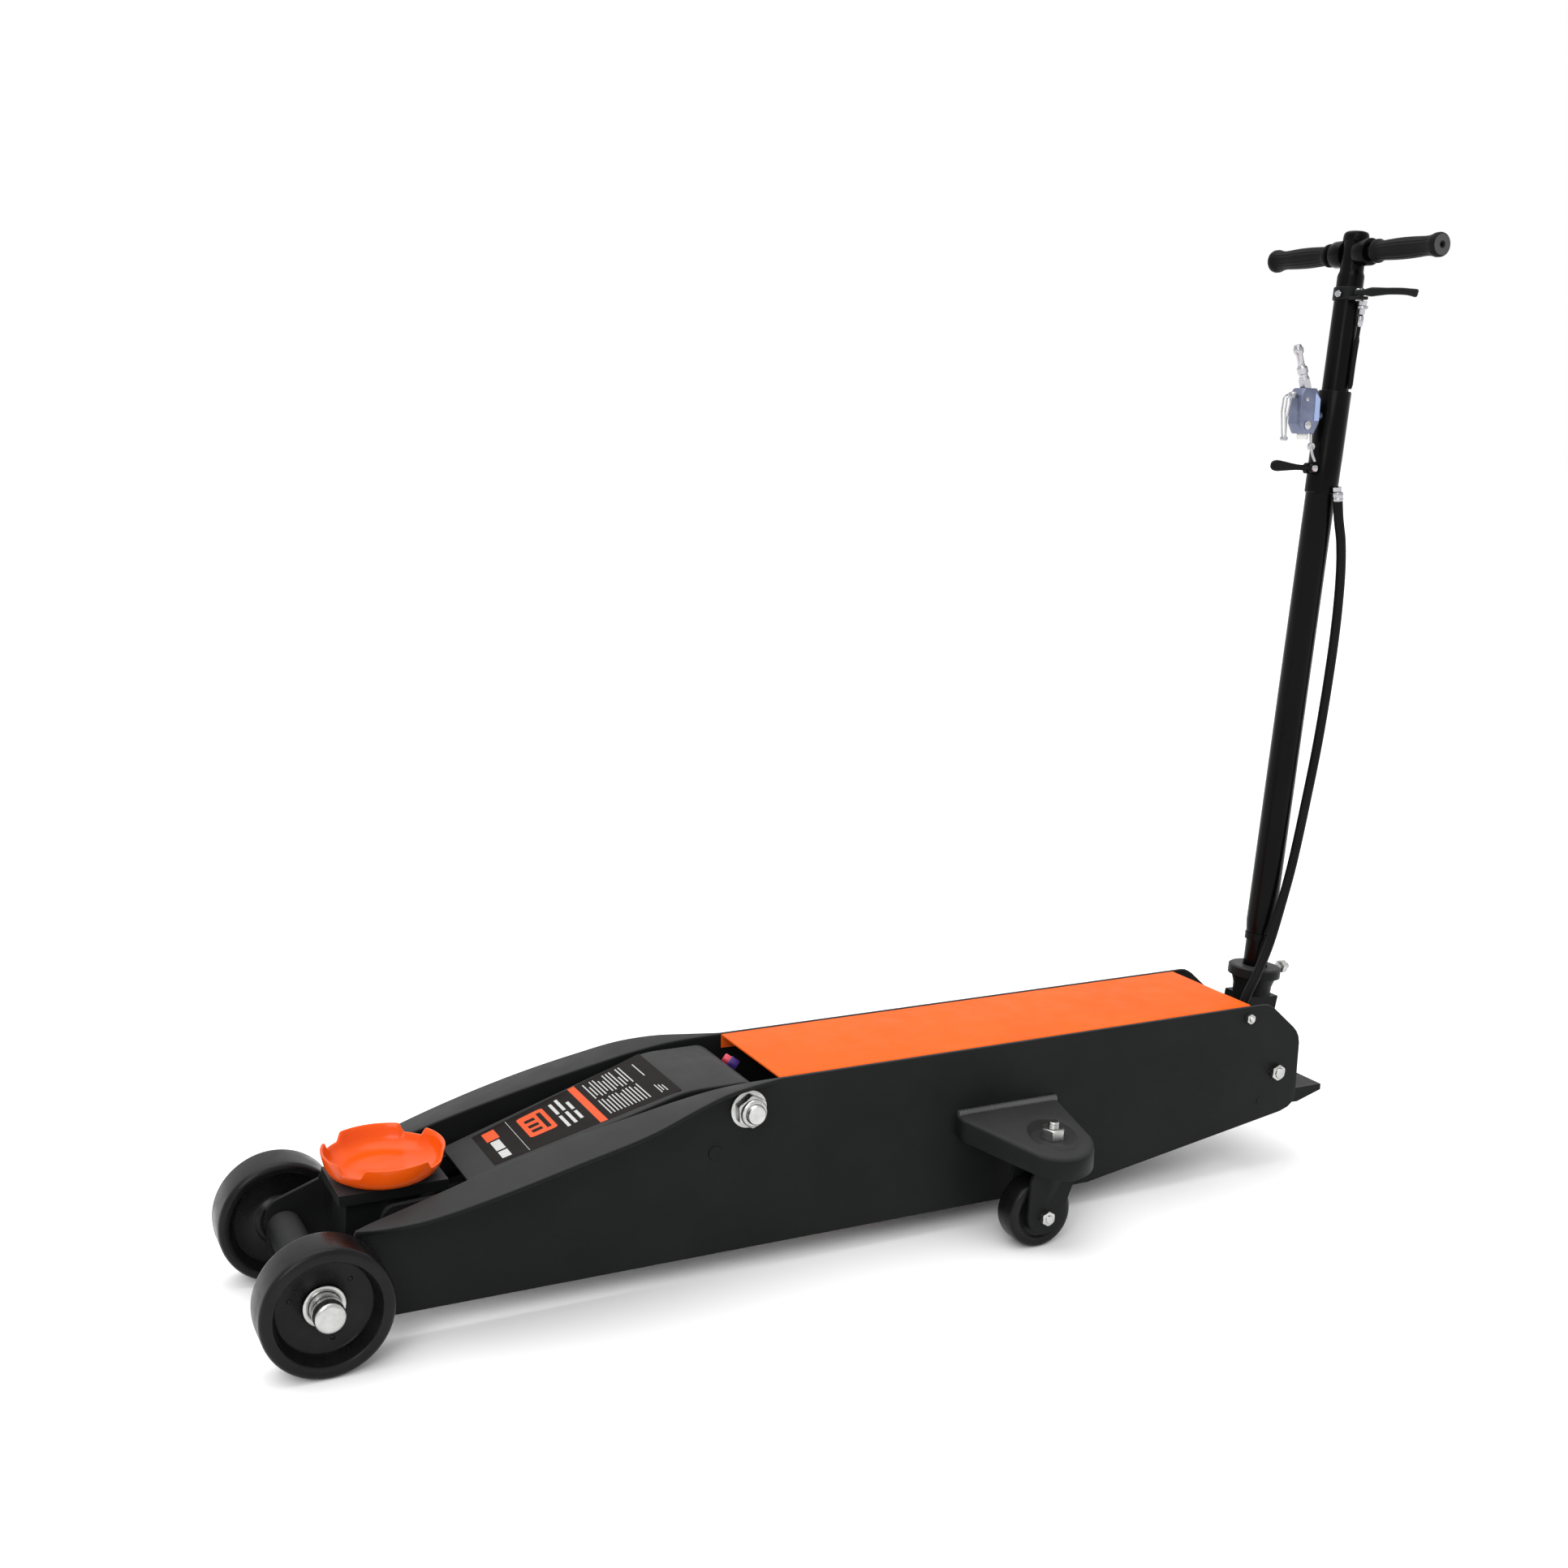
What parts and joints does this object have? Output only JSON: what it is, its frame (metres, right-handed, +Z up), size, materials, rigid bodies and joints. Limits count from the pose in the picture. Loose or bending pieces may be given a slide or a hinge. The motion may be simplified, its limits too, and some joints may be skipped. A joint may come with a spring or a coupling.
{
  "type": "long chassis floor jack",
  "caption": "Low steel trolley jack with a long deck, level-lifting saddle arm, twin front wheels, rear swivel casters and an upright pump handle with grips and air valve.",
  "frame": {"origin": "centre of the whole jack's bounding box, at floor level", "axes": "+X from the saddle end to the handle end, +Z up, left side at -Y"},
  "size_m": [1.641, 0.4534, 1.3601],
  "materials": {
    "body_black": "satin black enamel on pressed steel",
    "arm_black": "satin black enamel, slightly lighter",
    "deck_orange": "flat bright orange enamel",
    "saddle_orange": "glossy deep orange enamel",
    "wheel_iron": "cast wheel, dull black",
    "zinc": "bright zinc plate",
    "chrome": "polished chrome",
    "tube_gloss": "gloss black enamel",
    "rubber": "moulded black rubber",
    "valve_grey": "blue-grey anodised"
  },
  "bodies": {
    "chassis": {"side_plate_left": "body_black", "side_plate_right": "body_black", "front_cross_tube": "body_black", "front_axle": "zinc", "axle_washer_left": "zinc", "axle_washer_right": "zinc", "link_pivot_shaft": "body_black", "rear_tie_bolt": "zinc", "handle_pivot_bolt": "zinc", "main_pivot_bolt": "zinc", "main_pivot_nut": "zinc", "deck_cover": "deck_orange", "caster_bracket_left": "body_black", "caster_bracket_right": "body_black", "hydraulic_cylinder": "body_black", "cylinder_gland": "zinc", "cylinder_bulkhead": "body_black", "pump_body": "body_black", "pump_base_plate": "body_black", "air_motor": "zinc", "hose_lower": "rubber"},
    "left_front_wheel": {"front_wheel_left": "wheel_iron"},
    "right_front_wheel": {"front_wheel_right": "wheel_iron"},
    "left_caster": {"caster_fork_left": "body_black", "caster_stem_bolt_left": "zinc", "caster_axle_left": "zinc"},
    "left_caster_wheel": {"caster_wheel_left": "wheel_iron"},
    "right_caster": {"caster_fork_right": "body_black", "caster_stem_bolt_right": "zinc", "caster_axle_right": "zinc"},
    "right_caster_wheel": {"caster_wheel_right": "wheel_iron"},
    "lift_arm": {"arm_top_plate": "arm_black", "arm_side_left": "arm_black", "arm_side_right": "arm_black", "arm_sleeve_left": "arm_black", "arm_sleeve_right": "arm_black", "arm_crank": "arm_black", "saddle_pin": "zinc"},
    "carrier": {"saddle_carrier": "body_black", "link_pin": "zinc"},
    "saddle_body": {"saddle": "saddle_orange"},
    "links": {"levelling_link_left": "body_black", "levelling_link_right": "body_black"},
    "ram_body": {"ram": "chrome"},
    "plunger": {"pump_plunger": "chrome"},
    "pedal": {"foot_pedal": "body_black"},
    "handle": {"handle_socket": "body_black", "handle_clamp_bolt": "zinc", "handle_tube": "tube_gloss", "handle_head": "tube_gloss", "t_bar": "tube_gloss", "grip_left": "rubber", "grip_right": "rubber", "lever_bracket": "body_black", "air_valve": "valve_grey", "hose_upper": "rubber", "release_cable": "rubber"},
    "lever": {"release_lever": "body_black"},
    "trigger": {"valve_trigger": "chrome"},
    "head_lever": {"hand_lever": "rubber"}
  },
  "joints": [
    {"name": "left_front_wheel_spin", "type": "hinge", "parent": "chassis", "child": "left_front_wheel", "pos_m": [-0.7407, -0.129, 0.08], "axis": [0, 1, 0], "continuous": true},
    {"name": "left_caster_swivel", "type": "hinge", "parent": "chassis", "child": "left_caster", "pos_m": [0.2373, -0.169, 0.13], "axis": [0, 0, 1], "continuous": true},
    {"name": "left_caster_wheel_spin", "type": "hinge", "parent": "left_caster", "child": "left_caster_wheel", "pos_m": [0.2133, -0.169, 0.0475], "axis": [0, 1, 0], "continuous": true},
    {"name": "right_front_wheel_spin", "type": "hinge", "parent": "chassis", "child": "right_front_wheel", "pos_m": [-0.7407, 0.129, 0.08], "axis": [0, 1, 0], "continuous": true},
    {"name": "right_caster_swivel", "type": "hinge", "parent": "chassis", "child": "right_caster", "pos_m": [0.2373, 0.169, 0.13], "axis": [0, 0, 1], "continuous": true},
    {"name": "right_caster_wheel_spin", "type": "hinge", "parent": "right_caster", "child": "right_caster_wheel", "pos_m": [0.2133, 0.169, 0.0475], "axis": [0, 1, 0], "continuous": true},
    {"name": "arm_lift", "type": "hinge", "parent": "chassis", "child": "lift_arm", "pos_m": [-0.1832, 0, 0.2235], "axis": [0, 1, 0], "range_deg": [0, 48]},
    {"name": "carrier_level", "type": "hinge", "parent": "lift_arm", "child": "carrier", "pos_m": [-0.6347, 0, 0.135], "axis": [0, 1, 0], "range_deg": [-48, 0]},
    {"name": "link_swing", "type": "hinge", "parent": "chassis", "child": "links", "pos_m": [-0.2287, 0, 0.17], "axis": [0, 1, 0], "range_deg": [0, 48]},
    {"name": "saddle_turn", "type": "hinge", "parent": "carrier", "child": "saddle_body", "pos_m": [-0.6347, 0, 0.1723], "axis": [0, 0, 1], "continuous": true},
    {"name": "ram_push", "type": "slide", "parent": "chassis", "child": "ram_body", "axis": [-1, 0, 0], "range_m": [0, 0.0691]},
    {"name": "handle_tilt", "type": "hinge", "parent": "chassis", "child": "handle", "pos_m": [0.6848, 0, 0.151], "axis": [0, 1, 0], "range_deg": [0, 65]},
    {"name": "plunger_stroke", "type": "slide", "parent": "chassis", "child": "plunger", "axis": [-1, 0, 0], "range_m": [0, 0.0345]},
    {"name": "pedal_press", "type": "hinge", "parent": "chassis", "child": "pedal", "pos_m": [0.6593, -0.06, 0.108], "axis": [0, 1, 0], "range_deg": [0, 12], "stiffness_Nm_per_rad": 18, "springref_deg": -6.88},
    {"name": "lever_squeeze", "type": "hinge", "parent": "handle", "child": "lever", "pos_m": [0.7853, -0.027, 1.272], "axis": [-1, 0, 0], "range_deg": [0, 12], "stiffness_Nm_per_rad": 1.2, "springref_deg": -14.32},
    {"name": "trigger_press", "type": "hinge", "parent": "handle", "child": "trigger", "pos_m": [0.7083, 0, 1.13], "axis": [0, -1, 0], "range_deg": [0, 8], "stiffness_Nm_per_rad": 0.6, "springref_deg": -11.46},
    {"name": "head_lever_turn", "type": "hinge", "parent": "handle", "child": "head_lever", "pos_m": [0.7473, -0.008, 1.027], "axis": [0, 1, 0], "range_deg": [0, 20]}
  ],
  "couplings": [
    {"joint": "carrier_level", "follows": "arm_lift", "ratio": -1},
    {"joint": "link_swing", "follows": "arm_lift", "ratio": 1},
    {"joint": "ram_push", "follows": "arm_lift", "m_per_rad": 0.08208},
    {"joint": "plunger_stroke", "follows": "handle_tilt", "m_per_rad": 0.03}
  ]
}
